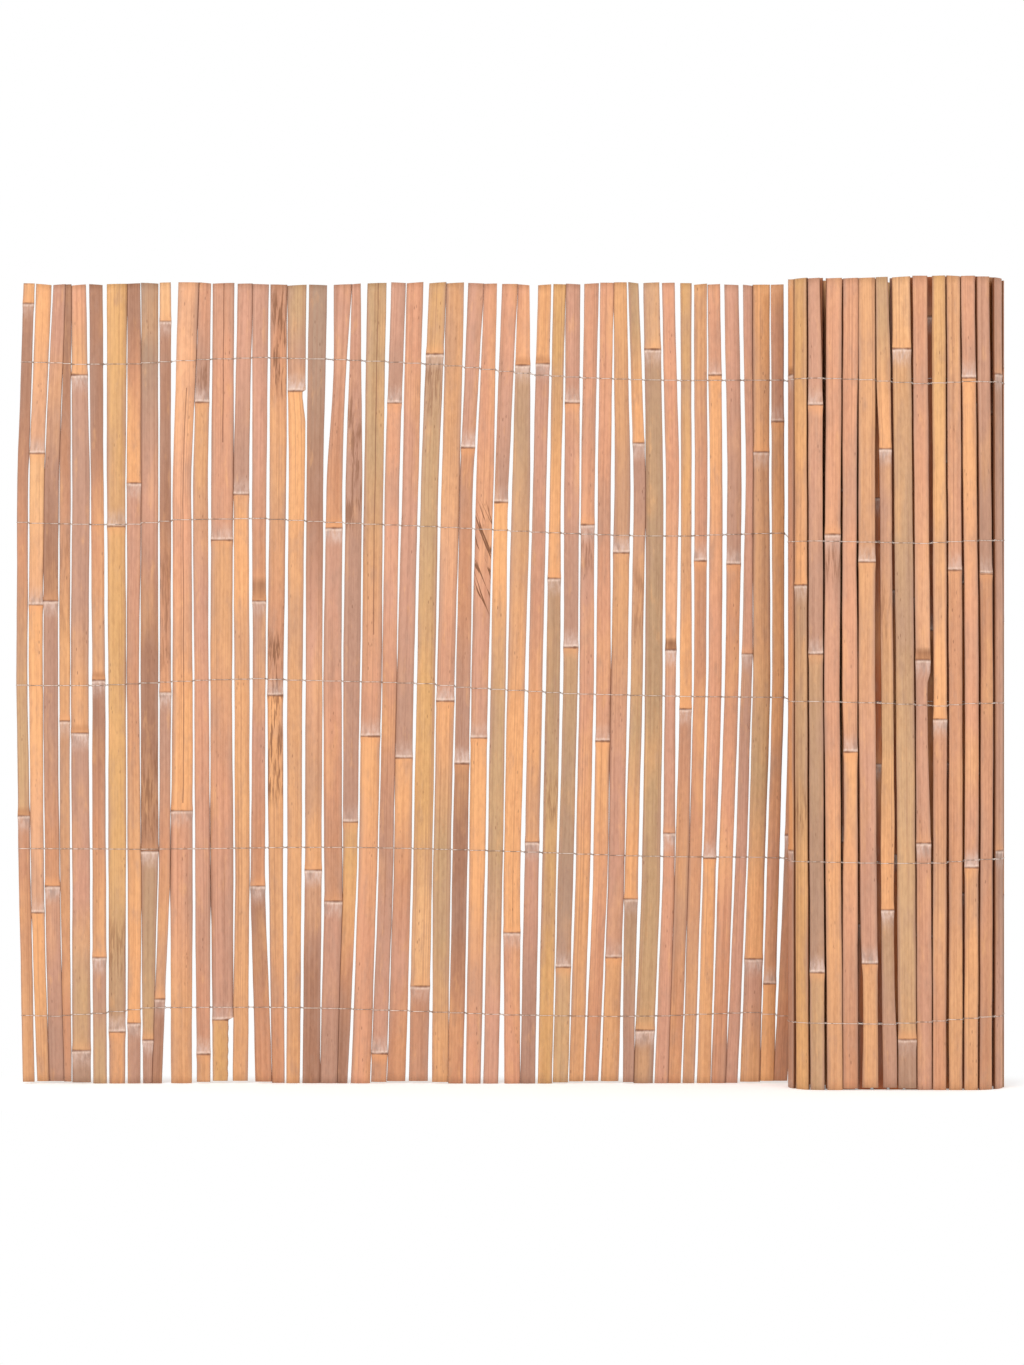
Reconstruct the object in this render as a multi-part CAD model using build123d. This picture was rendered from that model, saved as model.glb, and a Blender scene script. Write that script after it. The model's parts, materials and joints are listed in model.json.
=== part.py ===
from build123d import *
import math
import os

# Driving sizes, in millimetres. Z is up, X runs along the mat from its loose end to the roll, and the
# open stretch faces -Y. The origin is on the ground under the middle of the whole piece.
FENCE_HEIGHT = 1000.0
OPEN_LENGTH = 982.0
MAT_LENGTH = 2500.0
SLAT_THICKNESS = 5.0
CULM_RADIUS = 45.0
JOINT_SWELL = 0.7
JOINT_RUN = 11.0
JOINT_LIP = 4.0
END_RAGGED = 3.0
WAVE_DEPTH = 5.0
ROLL_WIDTH = 269.0
ROLL_DEPTH = 90.0
ROLL_OVERLAP = 23.0
LAYER_GAP = 4.0
TIGHTEST_BEND = 22.0
FILL_PITCH = 19.5
FILL_GAP = 2.8
FILL_SPREAD = 1.2
WIRE_DIAMETER = 1.0
WIRE_SIDES = 4
WIRE_CLEARANCE = 0.25
ROW_COUNT = 5
FIRST_ROW = 84.0
ROW_PITCH = 204.0

# How the wire rows wander: distances from the loose end, and how far each row lies above its even place
# there, from the lowest row up.
ROW_STATIONS = (0, 60, 135, 260, 400, 520, 650, 800, 930, 1316, 1390, 1460, 2500)
ROW_RISES = (
    (1, -1, 10, 11, 10, 6, 1, -1, 4, 13, -5, -2, -2),
    (5, 5, 4, 5, 7, 5, 1, -5, -6, -2, -13, -8, -8),
    (5, 4, 5, 14, 10, 6, -4, -9, -10, -20, -21, -15, -15),
    (4, 2, 0, 11, 3, -2, -9, -14, -9, -21, -27, -22, -22),
    (0, -2, -4, 7, 3, -4, -18, -23, -22, -35, -32, -26, -26),
)

# Slats of the open stretch, from the loose end to the roll, as a tape laid along the mat reads them.
# Each row has the left and right edge at the five survey heights, from the top down, and then the
# heights of the cane's joints. A joint with a minus sign belongs to a slat tied in upside down.
# A left edge lies LEFT_READING outside its reading and a right edge RIGHT_READING, as far as the slat
# beside it leaves them room for LEAST_GAP. The mat's own left edge is as read.
SURVEY_LENGTH = 982.0
SURVEY_HEIGHT = 1000.0
SURVEY_STATIONS = (992, 753, 500, 253, 11)
LEFT_READING = 1.4
RIGHT_READING = 0.4
LEAST_GAP = 0.4
OPEN_SLATS = (
    ((9, 22), (1, 14), (0, 13), (3, 17), (8, 22), (973, 334)),
    ((26, 43), (17, 33), (17, 32), (19, 33), (27, 40), (-786, -597, -213)),
    ((47, 61), (36, 52), (35, 51), (37, 53), (41, 59), (602, 246)),
    ((62, 68), (55, 67), (55, 66), (56, 66), (60, 68), (452,)),
    ((69, 86), (71, 91), (69, 89), (71, 91), (71, 92), (884, 437, 41)),
    ((92, 107), (94, 108), (96, 110), (96, 111), (97, 112), (503, 157)),
    ((114, 138), (114, 135), (116, 136), (116, 136), (117, 135), (-695, -64)),
    ((139, 154), (139, 155), (139, 152), (140, 155), (140, 154), (749, 75)),
    ((157, 176), (157, 176), (156, 176), (157, 176), (159, 169), (290, 54)),
    ((180, 192), (180, 192), (180, 192), (179, 191), (170, 181), (951, 488, 105)),
    ((203, 227), (196, 217), (196, 219), (192, 219), (194, 218), (340,)),
    ((229, 242), (221, 238), (223, 239), (224, 241), (226, 241), (-850, -36)),
    ((246, 271), (244, 270), (243, 268), (243, 270), (247, 269), (-678, -79)),
    ((277, 294), (271, 289), (273, 290), (274, 290), (270, 288), (-735,)),
    ((295, 314), (295, 311), (296, 310), (293, 309), (299, 318), (602, 246)),
    ((318, 337), (317, 336), (314, 332), (316, 332), (319, 334), (-484,)),
    ((339, 361), (341, 359), (339, 356), (339, 355), (338, 353), (-864,)),
    ((366, 387), (363, 382), (362, 381), (361, 380), (358, 378), (266,)),
    ((397, 418), (388, 406), (384, 405), (386, 407), (380, 400), (693, 227)),
    ((419, 429), (412, 431), (409, 428), (408, 424), (402, 413), (-326,)),
    ((439, 461), (435, 457), (432, 455), (428, 449), (419, 441), (-433,)),
    ((469, 485), (461, 477), (458, 474), (453, 469), (444, 461), (-849, -37)),
    ((488, 507), (483, 501), (475, 495), (472, 492), (464, 485), (-406,)),
    ((516, 536), (506, 526), (501, 522), (496, 518), (491, 513), (910, 121)),
    ((537, 558), (532, 553), (526, 546), (521, 541), (520, 538), (-477,)),
    ((565, 583), (554, 569), (550, 566), (545, 562), (540, 557), (-793, -399)),
    ((584, 599), (575, 595), (569, 588), (566, 584), (562, 579), (-431,)),
    ((607, 625), (598, 613), (593, 610), (589, 606), (584, 601), (-725,)),
    ((626, 640), (620, 641), (614, 634), (609, 628), (610, 628), (896, 188)),
    ((652, 667), (646, 661), (640, 656), (635, 651), (630, 647), (898, 301)),
    ((671, 685), (667, 679), (662, 678), (657, 673), (652, 668), (630,)),
    ((687, 703), (685, 702), (684, 700), (677, 694), (671, 688), (-849, -544, -145)),
    ((710, 726), (706, 721), (704, 720), (699, 715), (691, 707), (697,)),
    ((730, 745), (727, 741), (725, 741), (721, 737), (711, 726), (-427,)),
    ((746, 761), (748, 766), (743, 762), (740, 758), (731, 751), (-662, -157)),
    ((765, 776), (772, 785), (768, 781), (759, 775), (758, 770), (799, 230)),
    ((784, 802), (787, 807), (786, 806), (782, 803), (771, 794), (916, 66)),
    ((807, 821), (812, 827), (811, 822), (808, 821), (798, 813), (541, 312)),
    ((830, 842), (831, 842), (830, 843), (823, 838), (815, 829), (467,)),
    ((847, 861), (848, 862), (847, 860), (840, 854), (833, 846), (-652,)),
    ((864, 878), (867, 881), (865, 880), (858, 872), (851, 866), (-884, -281)),
    ((885, 901), (889, 905), (886, 901), (877, 893), (869, 885), (-648,)),
    ((908, 918), (912, 919), (906, 918), (898, 910), (887, 900), (536,)),
    ((920, 940), (921, 939), (921, 941), (914, 933), (905, 928), (788, 155)),
    ((943, 957), (944, 958), (945, 958), (938, 951), (929, 945), (-826, -124)),
    ((965, 981), (966, 982), (966, 982), (959, 975), (947, 962), (700, 310)),
)

# Slats on the outside of the roll, in the order the mat passes them: distance past the right-hand bend,
# how far the top and the foot lean on along the mat, width, joints.
ROLL_SLATS = (
    (-43.5, 4, 1, 20, (880, 293)),
    (-20, 6, 2, 17.5, (-634,)),
    (0, 5, 1, 17, (-874, -273)),
    (20, 3, 0, 16.5, (-638,)),
    (39, 2, 1, 16.5, (455,)),
    (60, 4, -2, 18, (528, 303)),
    (82, 5, -3, 22.5, (910, 62)),
    (105.5, 4, -5, 17.5, (787, 221)),
    (129, 0, -4, 20.5, (-648, -155)),
    (150, -1, -1, 18.5, (-415,)),
    (172, -3, -4, 19, (682,)),
    (191.5, 1, -2, 17.5, (-841, -535, -144)),
    (212, 1, -2, 19, (620,)),
    (233, 0, 0, 17.5, (880, 293)),
)

# Splits broken out of an edge: slat number, top and bottom of the split, how deep it reaches.
SPLITS = ((13, 82, -5, 6.0), (17, 866, 826, 4.5))

# Sizes that follow from those above.
LAYER_PITCH = SLAT_THICKNESS + LAYER_GAP
BEND_RADIUS = (ROLL_DEPTH - SLAT_THICKNESS) / 2
STRAIGHT = ROLL_WIDTH - SLAT_THICKNESS - 2 * BEND_RADIUS + LAYER_PITCH / 2
ROLL_END = OPEN_LENGTH - ROLL_OVERLAP + ROLL_WIDTH
BEND_START = ROLL_END - BEND_RADIUS - SLAT_THICKNESS / 2
FRONT_START = BEND_START + math.pi * BEND_RADIUS
LEFT_X = -ROLL_END / 2
BACK_Y = BEND_RADIUS - WAVE_DEPTH / 2
WIRE_OFFSET = SLAT_THICKNESS / 2 + WIRE_CLEARANCE + WIRE_DIAMETER / 2
STATIONS = [h * FENCE_HEIGHT / SURVEY_HEIGHT for h in SURVEY_STATIONS]
FRONT = -1
OUTSIDE = 1
BEND_SEEN = 0.012
SLATS_A_STEP = 3


def between(at, places, values):
    """Value at a place on a broken line, carried on straight past both ends."""
    pairs = sorted(zip(places, values))
    for (p0, v0), (p1, v1) in zip(pairs, pairs[1:]):
        if at <= p1:
            break
    return v0 + (v1 - v0) * (at - p0) / (p1 - p0)


def half_turns():
    """Radius and starting distance of every half turn of the roll, from the outside inwards."""
    start = BEND_START
    radius = BEND_RADIUS
    turns = []
    while radius >= TIGHTEST_BEND:
        turns.append((start, radius))
        start += math.pi * radius + STRAIGHT
        radius -= LAYER_PITCH / 2
    return turns


HALF_TURNS = half_turns()
LAST_BEND, LAST_RADIUS = HALF_TURNS[-1]
MAT_END = min(MAT_LENGTH, LAST_BEND + math.pi * LAST_RADIUS + STRAIGHT / 2)


def mat_path(s):
    """Point on the middle of the mat's thickness at a distance along it, and its heading in radians."""
    if s <= BEND_START:
        turn = 4 * math.pi * (BEND_START - s) / BEND_START
        y = BACK_Y + WAVE_DEPTH * (1 - math.cos(turn)) / 2
        slope = -2 * math.pi * WAVE_DEPTH * math.sin(turn) / BEND_START
        return LEFT_X + s, y, math.atan(slope)
    x = LEFT_X + BEND_START
    y = BACK_Y
    side = 1
    for number, (start, radius) in enumerate(HALF_TURNS):
        bend = (s - start) / radius
        if bend <= math.pi:
            middle = y - side * radius
            px = x + side * radius * math.sin(bend)
            return px, middle + side * radius * math.cos(bend), -math.pi * number - bend
        y -= side * 2 * radius
        run = s - start - math.pi * radius
        if run <= STRAIGHT or number == len(HALF_TURNS) - 1:
            return x - side * run, y, -math.pi * (number + 1)
        x -= side * STRAIGHT
        side = -side


class Slat:
    """One split of cane: its edges along the mat at given heights, and the joints it carries."""

    def __init__(self, heights, lefts, rights, joints, skin):
        self.heights = heights
        self.lefts = lefts
        self.rights = rights
        self.skin = skin
        left, right = self.edges(FENCE_HEIGHT / 2)
        left_x, left_y, _ = mat_path(left)
        right_x, right_y, _ = mat_path(right)
        self.at = (left + right) / 2
        self.x = (left_x + right_x) / 2
        self.y = (left_y + right_y) / 2
        way = mat_path(self.at)[2]
        chord = math.atan2(right_y - left_y, right_x - left_x)
        self.heading = way + math.remainder(chord - way, 2 * math.pi)
        self.foot = END_RAGGED * max(0.0, math.sin(self.at / 37 + 0.6))
        self.top = FENCE_HEIGHT - END_RAGGED * (1 + math.sin(self.at / 45)) / 2
        scaled = [joint * FENCE_HEIGHT / SURVEY_HEIGHT for joint in joints]
        self.joints = [j for j in scaled if self.foot + JOINT_RUN < abs(j) < self.top - JOINT_RUN]

    def edges(self, z):
        return between(z, self.heights, self.lefts), between(z, self.heights, self.rights)

    def place(self, s, out, z):
        """Point beside the slat: distance along the mat, distance outwards from its middle, height."""
        along = s - self.at
        cos = math.cos(self.heading)
        sin = math.sin(self.heading)
        return Vector(self.x + along * cos - out * sin, self.y + along * sin + out * cos, z)

    def ring(self, z, swell):
        """Cross-section at a height: flat back, straight sides and the cane's own round on the skin."""
        left, right = self.edges(z)
        half = (right - left) / 2
        crown = SLAT_THICKNESS / 2 + swell
        edge = crown - CULM_RADIUS + math.sqrt(CULM_RADIUS ** 2 - half ** 2)
        back_left = self.place(left, -self.skin * SLAT_THICKNESS / 2, z)
        back_right = self.place(right, -self.skin * SLAT_THICKNESS / 2, z)
        skin_right = self.place(right, self.skin * edge, z)
        skin_middle = self.place(left + half, self.skin * crown, z)
        skin_left = self.place(left, self.skin * edge, z)
        back = Line(back_left, back_right)
        far_side = Line(back_right, skin_right)
        skin = ThreePointArc(skin_right, skin_middle, skin_left)
        near_side = Line(skin_left, back_left)
        return Face(Wire([back, far_side, skin, near_side]))

    def solid(self):
        levels = {self.foot: 0.0, self.top: 0.0}
        for joint in self.joints:
            below = JOINT_RUN if joint > 0 else JOINT_LIP
            above = JOINT_LIP if joint > 0 else JOINT_RUN
            levels[abs(joint) - below] = 0.0
            levels[abs(joint)] = JOINT_SWELL
            levels[abs(joint) + above] = 0.0
        for height in self.heights[1:-1]:
            if min(abs(height - z) for z in levels) > 0.03 * FENCE_HEIGHT:
                levels[height] = 0.0
        return loft([self.ring(z, levels[z]) for z in sorted(levels)], ruled=True)

    def proud(self, z):
        """How far a joint lifts a wire that crosses the slat at this height."""
        reach = JOINT_RUN + WIRE_DIAMETER
        near = any(abs(abs(joint) - z) < reach for joint in self.joints)
        return JOINT_SWELL if near else 0.0


def open_slats():
    scale = OPEN_LENGTH / SURVEY_LENGTH
    lefts = [[left * scale for left, right in row[:-1]] for row in OPEN_SLATS]
    rights = [[right * scale for left, right in row[:-1]] for row in OPEN_SLATS]
    rights[-1] = [right + RIGHT_READING for right in rights[-1]]
    for right, left in zip(rights, lefts[1:]):
        for k in range(len(STATIONS)):
            room = left[k] - right[k] - LEAST_GAP
            share = min(1.0, room / (LEFT_READING + RIGHT_READING))
            right[k] += RIGHT_READING * share
            left[k] -= LEFT_READING * share
    rows = zip(lefts, rights, OPEN_SLATS)
    return [Slat(STATIONS, left, right, row[-1], FRONT) for left, right, row in rows]


def straight_slat(at, width, joints=(), top=0.0, foot=0.0):
    heights = [FENCE_HEIGHT, FENCE_HEIGHT / 2, 0.0]
    middles = [at + top, at, at + foot]
    lefts = [m - width / 2 for m in middles]
    rights = [m + width / 2 for m in middles]
    return Slat(heights, lefts, rights, joints, OUTSIDE)


def fill_slats(start, end):
    """Plain slats at an even pitch along a stretch of the mat that the roll hides."""
    count = max(1, round((end - start) / FILL_PITCH))
    pitch = (end - start) / count
    slats = []
    for k in range(count):
        width = pitch - FILL_GAP - FILL_SPREAD * (1 + math.sin(2.4 * k)) / 2
        slats.append(straight_slat(start + (k + 0.5) * pitch, width))
    return slats


def roll_slats(first):
    seen = []
    for past, top, foot, width, joints in ROLL_SLATS:
        seen.append(straight_slat(FRONT_START + past, width, joints, top, foot))
    before = seen[0].edges(FENCE_HEIGHT / 2)[0]
    after = seen[-1].edges(FENCE_HEIGHT / 2)[1]
    half = FILL_GAP / 2
    return fill_slats(first + half, before - half) + seen + fill_slats(after + half, MAT_END)


def row_height(row, s):
    rise = between(s, ROW_STATIONS, ROW_RISES[min(row, len(ROW_RISES) - 1)])
    return (FIRST_ROW + row * ROW_PITCH + rise) * FENCE_HEIGHT / SURVEY_HEIGHT


def crossing(here, after, offset, z):
    """Where a strand turns between two slats, so that it lies flat along both of them."""
    turn = here.heading - after.heading
    if turn < BEND_SEEN:
        gap = (here.edges(z)[1] + after.edges(z)[0]) / 2
        return here.place(gap, offset, z)
    apart = after.place(after.at, offset, z) - here.place(here.at, offset, z)
    aside = apart.Y * math.cos(after.heading) - apart.X * math.sin(after.heading)
    return here.place(here.at + aside / math.sin(turn), offset, z)


def strand(slats, row, side):
    """Corners of one strand of a row, laid against the skin or the backs of the slats it passes."""
    turns = [k for k in range(len(slats) - 1) if slats[k].heading - slats[k + 1].heading > BEND_SEEN]
    kept = sorted(set(turns) | set(range(1, len(slats) - 1, SLATS_A_STEP)))
    corners = []
    for number, k in enumerate(kept):
        z = row_height(row, (slats[k].at + slats[k + 1].at) / 2)
        first = kept[number - 1] + 1 if number else 0
        last = kept[number + 1] if number + 1 < len(kept) else len(slats) - 1
        lifts = [slat.proud(row_height(row, slat.at)) for slat in slats[first:last + 1] if slat.skin == side]
        offset = side * (WIRE_OFFSET + max(lifts, default=0.0))
        corners.append(crossing(slats[k], slats[k + 1], offset, z))
    end = slats[-1]
    z = row_height(row, end.at)
    corners.append(end.place(end.edges(z)[1], side * WIRE_OFFSET, z))
    return corners


def wire_ring(before, corner, after):
    """Cross-section of a wire at a corner, in the plane that halves the turn."""
    run_in = Vector(corner.X - before.X, corner.Y - before.Y, 0).normalized()
    run_out = Vector(after.X - corner.X, after.Y - corner.Y, 0).normalized()
    along = (run_in + run_out).normalized()
    across = Vector(-along.Y, along.X, 0) / max(0.3, along.dot(run_in))
    reach = WIRE_DIAMETER / 2 / math.cos(math.pi / WIRE_SIDES)
    points = []
    for k in range(WIRE_SIDES):
        angle = math.pi * (2 * k + 1) / WIRE_SIDES
        rise = Vector(0, 0, reach * math.sin(angle))
        points.append(corner + across * (reach * math.cos(angle)) + rise)
    return Wire.make_polygon(points, close=True)


def wire_row(slats, flat, row):
    """A row's wire: out of the roll on the outside, round the end slat, and back along the front."""
    end = slats[0]
    z = row_height(row, 0)
    past_edge = end.edges(z)[0] - WIRE_CLEARANCE - WIRE_DIAMETER / 2
    corners = list(reversed(strand(slats, row, OUTSIDE)))
    corners.append(end.place(past_edge, WIRE_OFFSET, z))
    corners.append(end.place(past_edge, -WIRE_OFFSET - end.proud(z), z))
    corners += strand(flat, row, FRONT)
    before = [corners[0] * 2 - corners[1]] + corners[:-1]
    after = corners[1:] + [corners[-1] * 2 - corners[-2]]
    rings = [wire_ring(b, c, a) for b, c, a in zip(before, corners, after)]
    spans = [Solid.make_loft(pair, ruled=True) for pair in zip(rings, rings[1:])]
    return spans[0].fuse(*spans[1:])


def split_cut(slat, top, bottom, depth):
    """Wedge that takes a broken split out of a slat's right-hand edge."""
    high = top * FENCE_HEIGHT / SURVEY_HEIGHT
    low = bottom * FENCE_HEIGHT / SURVEY_HEIGHT
    edge = slat.edges(high)[1]
    inner = edge - depth
    shape = ((edge + 3, high), (inner, high - 6), (inner + 1.5, low), (edge + 3, low))
    corners = [slat.place(s, -SLAT_THICKNESS, z) for s, z in shape]
    through = slat.place(slat.at, SLAT_THICKNESS, 0) - slat.place(slat.at, -SLAT_THICKNESS, 0)
    return extrude(Face(Wire.make_polygon(corners, close=True)), through.length, through.normalized())


def save(shape, name):
    export_step(shape, os.path.join("parts", name + ".step"))


os.makedirs("parts", exist_ok=True)

opened = open_slats()
rolled = roll_slats(opened[-1].edges(FENCE_HEIGHT / 2)[1])
solids = [slat.solid() for slat in opened]
for number, top, bottom, depth in SPLITS:
    solids[number - 1] -= split_cut(opened[number - 1], top, bottom, depth)
for number, solid in enumerate(solids, 1):
    save(solid, f"slat_{number:02d}")

turn_ends = [start + math.pi * radius for start, radius in HALF_TURNS[1::2]] + [MAT_END]
turn_start = 0.0
for turn, turn_end in enumerate(turn_ends, 1):
    members = [slat for slat in rolled if turn_start <= slat.at < turn_end]
    turn_start = turn_end
    if members:
        save(Compound([slat.solid() for slat in members]), f"roll_turn_{turn}")

everything = opened + rolled
flat = [slat for slat in everything if slat.at < BEND_START]
for row in range(ROW_COUNT):
    save(wire_row(everything, flat, row), f"wire_row_{row + 1}")
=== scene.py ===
"""Looks for a split-bamboo fence mat that stands partly unrolled.

Every slat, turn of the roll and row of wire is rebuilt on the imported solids: the slats' axes, edges and
cane joints are read from the solids, and the surfaces are worked out from them with numpy.
"""

from __future__ import annotations

import json
import logging
import math
from dataclasses import dataclass, field
from enum import Enum, IntEnum

import bpy
import numpy as np
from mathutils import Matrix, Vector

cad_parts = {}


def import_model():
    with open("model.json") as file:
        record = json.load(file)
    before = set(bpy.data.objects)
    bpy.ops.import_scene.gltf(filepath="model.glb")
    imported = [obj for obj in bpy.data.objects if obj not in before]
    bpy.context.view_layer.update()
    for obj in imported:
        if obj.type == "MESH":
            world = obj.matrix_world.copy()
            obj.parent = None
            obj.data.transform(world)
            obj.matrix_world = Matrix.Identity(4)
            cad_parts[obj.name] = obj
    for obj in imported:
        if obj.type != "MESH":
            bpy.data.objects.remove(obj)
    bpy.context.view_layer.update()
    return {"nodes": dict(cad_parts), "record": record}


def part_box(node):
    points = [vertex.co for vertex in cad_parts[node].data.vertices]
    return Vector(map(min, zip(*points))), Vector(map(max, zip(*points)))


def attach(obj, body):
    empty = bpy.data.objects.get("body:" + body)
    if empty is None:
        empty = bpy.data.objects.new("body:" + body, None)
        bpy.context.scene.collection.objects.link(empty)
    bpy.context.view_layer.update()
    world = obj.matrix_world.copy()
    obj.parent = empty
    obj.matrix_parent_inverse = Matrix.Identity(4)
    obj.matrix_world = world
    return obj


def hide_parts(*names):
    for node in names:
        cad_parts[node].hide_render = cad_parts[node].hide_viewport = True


LOG = logging.getLogger("bamboo_fence")
MM = 0.001
WHITE = (1.0, 1.0, 1.0, 1.0)

Colour = tuple[float, float, float]
Socket = bpy.types.NodeSocket
Plug = float | tuple | Socket


def linear(rgb: Colour) -> np.ndarray:
    """Turns a display colour into scene-linear light.

    Args:
        rgb: Red, green and blue from 0 to 255, as a screen shows them.

    Returns:
        The same colour as three linear values from 0 to 1.
    """
    share = np.asarray(rgb, float) / 255
    return np.where(share <= 0.04045, share / 12.92, ((share + 0.055) / 1.055) ** 2.4)


class Tone(Enum):
    """Named colours of dry cane skin, as a screen shows them; their first letters all differ."""

    HONEY = (213, 163, 106)
    APRICOT = (230, 167, 114)
    PEACH = (226, 168, 127)
    STRAW = (228, 176, 127)
    NUDE = (215, 154, 120)
    ROSE = (204, 150, 124)
    CLAY = (201, 142, 106)
    UMBER = (164, 117, 91)
    MAUVE = (184, 139, 116)
    GREY = (166, 134, 111)
    KHAKI = (193, 155, 114)
    OLIVE = (182, 146, 111)
    TAN = (214, 158, 112)

    @property
    def light(self) -> np.ndarray:
        """The tone as linear light."""
        return linear(self.value)


class Flaw(IntEnum):
    """Kinds of mark that a few slats carry, numbered as the finish reads them."""

    STREAK = 1
    TRACK = 2
    SCAR = 3


class Seed(IntEnum):
    """Starting numbers of the random draws, one for each use."""

    TONE = 0
    SLANT = 500
    WAVER = 1000
    JOINT = 2000
    HIDDEN = 3000

    def draws(self, number: int) -> np.random.Generator:
        """The draws that one slat or edge makes for this use."""
        return np.random.default_rng(int(self) + number)


@dataclass(frozen=True)
class Mark:
    """One mark on a slat, between two heights in millimetres."""

    flaw: Flaw
    low: float
    high: float
    strength: float = 1.0


@dataclass(frozen=True)
class Split:
    """A piece broken out of a slat's right edge, in millimetres.

    step is the height over which it breaks in at its top, and fade how much of its depth it loses again
    on the way down.
    """

    low: float
    high: float
    depth: float
    step: float = 3.0
    fade: float = 0.0


@dataclass(frozen=True)
class Crack:
    """A long crack: its place across the slat, from -1 to 1, and its ends in millimetres."""

    place: float
    low: float
    high: float


NO_CRACK = Crack(9.0, 0.0, 0.0)


@dataclass(frozen=True)
class Wedge:
    """A stretch over which one edge of a rolled slat runs in, in millimetres.

    side is -1 for the edge towards the open stretch and +1 for the other edge. stops are the heights where
    the edge starts to run in, is all in, starts to run out and is out again.
    """

    side: int
    stops: tuple[float, float, float, float]
    depth: float


@dataclass(frozen=True)
class SlatLook:
    """How one slat looks: the tones of each length of cane between joints, top first, and its marks."""

    lengths: tuple[tuple[Tone, ...], ...]
    marks: tuple[Mark, ...] = ()
    split: Split | None = None
    crack: Crack = NO_CRACK


LETTERS = {tone.name[0]: tone for tone in Tone}


def look(tones: str, *marks: Mark, **extra: Split | Crack) -> SlatLook:
    """A slat's look from the letters of its tones, top first, with a slash at every joint."""
    lengths = tuple(tuple(LETTERS[name] for name in part) for part in tones.split("/"))
    return SlatLook(lengths, marks, **extra)


def streak(low: float, high: float, strength: float = 1.0) -> Mark:
    """Dark streaks along the grain between two heights."""
    return Mark(Flaw.STREAK, low, high, strength)


def scar(low: float, high: float, strength: float = 1.0) -> Mark:
    """A dark block between two heights."""
    return Mark(Flaw.SCAR, low, high, strength)


OPEN_LOOKS: tuple[SlatLook, ...] = (
    look("T/UCK/CT", scar(334, 343, 0.7)),
    look("AP/SP/AP/AT"),
    look("RMU/MMC/RM"),
    look("UCT/TC", streak(560, 690, 0.4)),
    look("NT/MMMT/MRK/G", scar(438, 446, 0.5)),
    look("UUCT/UCT/MK", scar(504, 512, 0.8)),
    look("HHH/HHHK/A", streak(130, 200, 0.6)),
    look("UCA/RCTA/M"),
    look("GRUU/OOK/M", streak(300, 420, 0.8)),
    look("S/UUC/MCT/U", streak(520, 660, 0.6)),
    look("PNA/NT", crack=Crack(0.12, 350.0, 868.0)),
    look("NM/TRNRN/T", streak(858, 900, 0.7)),
    look("NN/TNR/H", split=Split(-5, 82, 6.0), crack=Crack(0.05, 800.0, 1000.0)),
    look("RM/ATT"),
    look("RRC/MRC/UC", scar(603, 630, 0.6)),
    look("CTC/ATTC", streak(860, 990), streak(353, 560)),
    look("KM/ATTTT", split=Split(826, 866, 4.5, 3.0, 1.0)),
    look("GURT/MUU"),
    look("RC/RNC/RM"),
    look("RMMM/HCU", streak(690, 860, 0.8)),
    look("KKTN/ANN", crack=Crack(0.15, 560.0, 1000.0)),
    look("RM/NRCMR/C"),
    look("NRRM/ACRC"),
    look("H/KKHHS/C", streak(840, 900, 0.6)),
    look("TTPN/AKKT"),
    look("RR/CCM/UUC"),
    look("NNNR/AAN", Mark(Flaw.TRACK, 584, 720)),
    look("NRM/AKKR"),
    look("N/OTAA/NN", scar(896, 904, 0.7)),
    look("A/RNA/RM", scar(898, 906, 0.8)),
    look("HA/OKHH", streak(330, 380, 0.7)),
    look("R/RM/OG/KK"),
    look("NN/RNAT", streak(640, 690, 0.7)),
    look("NN/ANC"),
    look("TT/TRR/T"),
    look("KA/MTKA/OM", streak(560, 640, 0.5)),
    look("S/OOKK/G"),
    look("NNP/RR/NR", scar(538, 554)),
    look("HA/CTC"),
    look("TN/CCT"),
    look("N/ANN/AT"),
    look("RM/CNC"),
    look("RR/MRR"),
    look("AA/TTKA/RT"),
    look("N/AAN/A"),
    look("R/TC/CC"),
)
REPEAT_FROM = 30
HIDDEN_LOOKS: tuple[SlatLook, ...] = tuple(
    look(tones) for tones in ("CN/RC/TC", "NC/AT/R", "TC/NR/CT", "R/NC/KT", "TA/RM/C", "MC/TN/A", "KT/CN/RC")
)
ROLL_WEDGES: dict[int, tuple[Wedge, ...]] = {
    2: (Wedge(1, (850, 1000, 1010, 1020), 3.0),),
    4: (Wedge(-1, (260, 320, 420, 480), 1.7), Wedge(1, (560, 640, 780, 880), 1.2)),
    5: (Wedge(-1, (-10, 60, 140, 185), 2.2),),
    6: (
        Wedge(1, (890, 1000, 1010, 1020), 3.0),
        Wedge(-1, (300, 420, 800, 870), 2.8),
        Wedge(1, (60, 120, 240, 330), 2.0),
    ),
    8: (Wedge(1, (286, 420, 504, 508), 3.4),),
}


BLOOM_RANGE = (0.4, 1.0)
FLUSH_RANGE = (0.1, 0.55)


@dataclass(frozen=True)
class Joint:
    """A cane joint: its height, +1 if its bloom lies below it or -1 if above, and how strongly it shows."""

    height: float
    way: float
    bloom: float
    flush: float

    @staticmethod
    def drawn(height: float, way: float, chance: np.random.Generator) -> "Joint":
        """A joint whose bloom and flush are drawn at random."""
        return Joint(height, way, chance.uniform(*BLOOM_RANGE), chance.uniform(*FLUSH_RANGE))


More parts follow.
